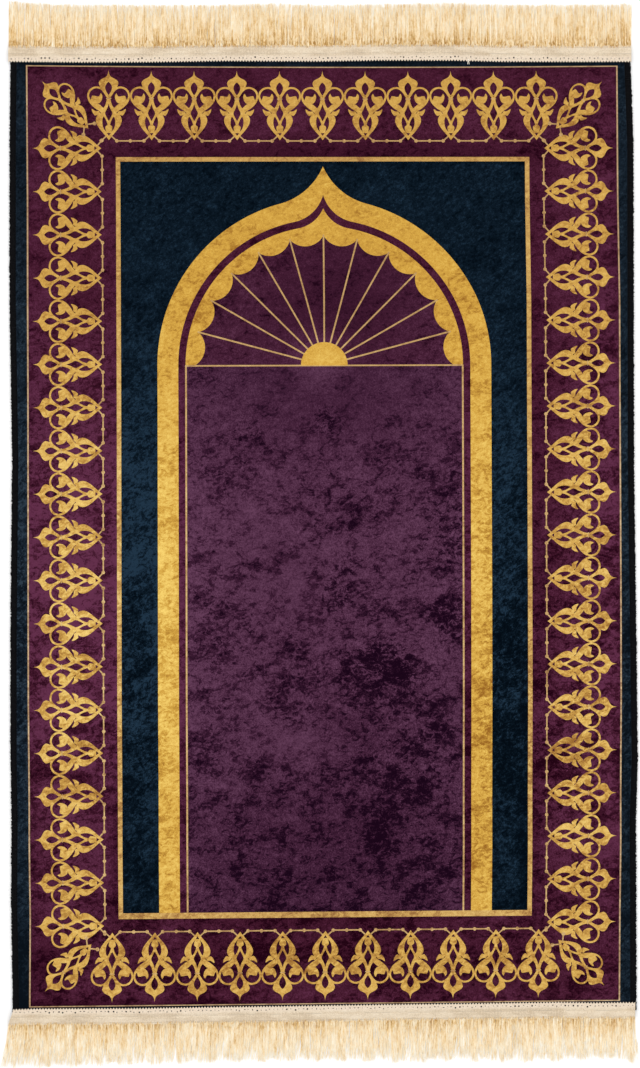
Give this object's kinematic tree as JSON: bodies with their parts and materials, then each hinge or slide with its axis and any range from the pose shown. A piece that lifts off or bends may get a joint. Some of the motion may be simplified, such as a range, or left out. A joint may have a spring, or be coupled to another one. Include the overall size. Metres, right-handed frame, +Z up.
{
  "type": "prayer rug",
  "caption": "Flat oblong rug of printed crushed velvet with an arch field and leafy border, overlocked long edges and a silky fringe on a woven tape across each end.",
  "frame": {"origin": "on the surface that the rug lies on, under the middle of the rug", "axes": "+X across the rug to the right, +Y along it towards the point of the printed arch, +Z up from the surface"},
  "size_m": [0.7123, 1.192, 0.0043],
  "materials": {
    "velvet_rug": "crushed velvet pile, printed purple, navy and gold",
    "overlock": "dense black overlock thread",
    "fringe": "silky cream-gold yarn on a cream woven tape"
  },
  "bodies": {
    "root": {"velvet_rug": "velvet_rug", "overlock_left": "overlock", "overlock_right": "overlock", "fringe_top": "fringe", "fringe_bottom": "fringe"}
  },
  "joints": []
}
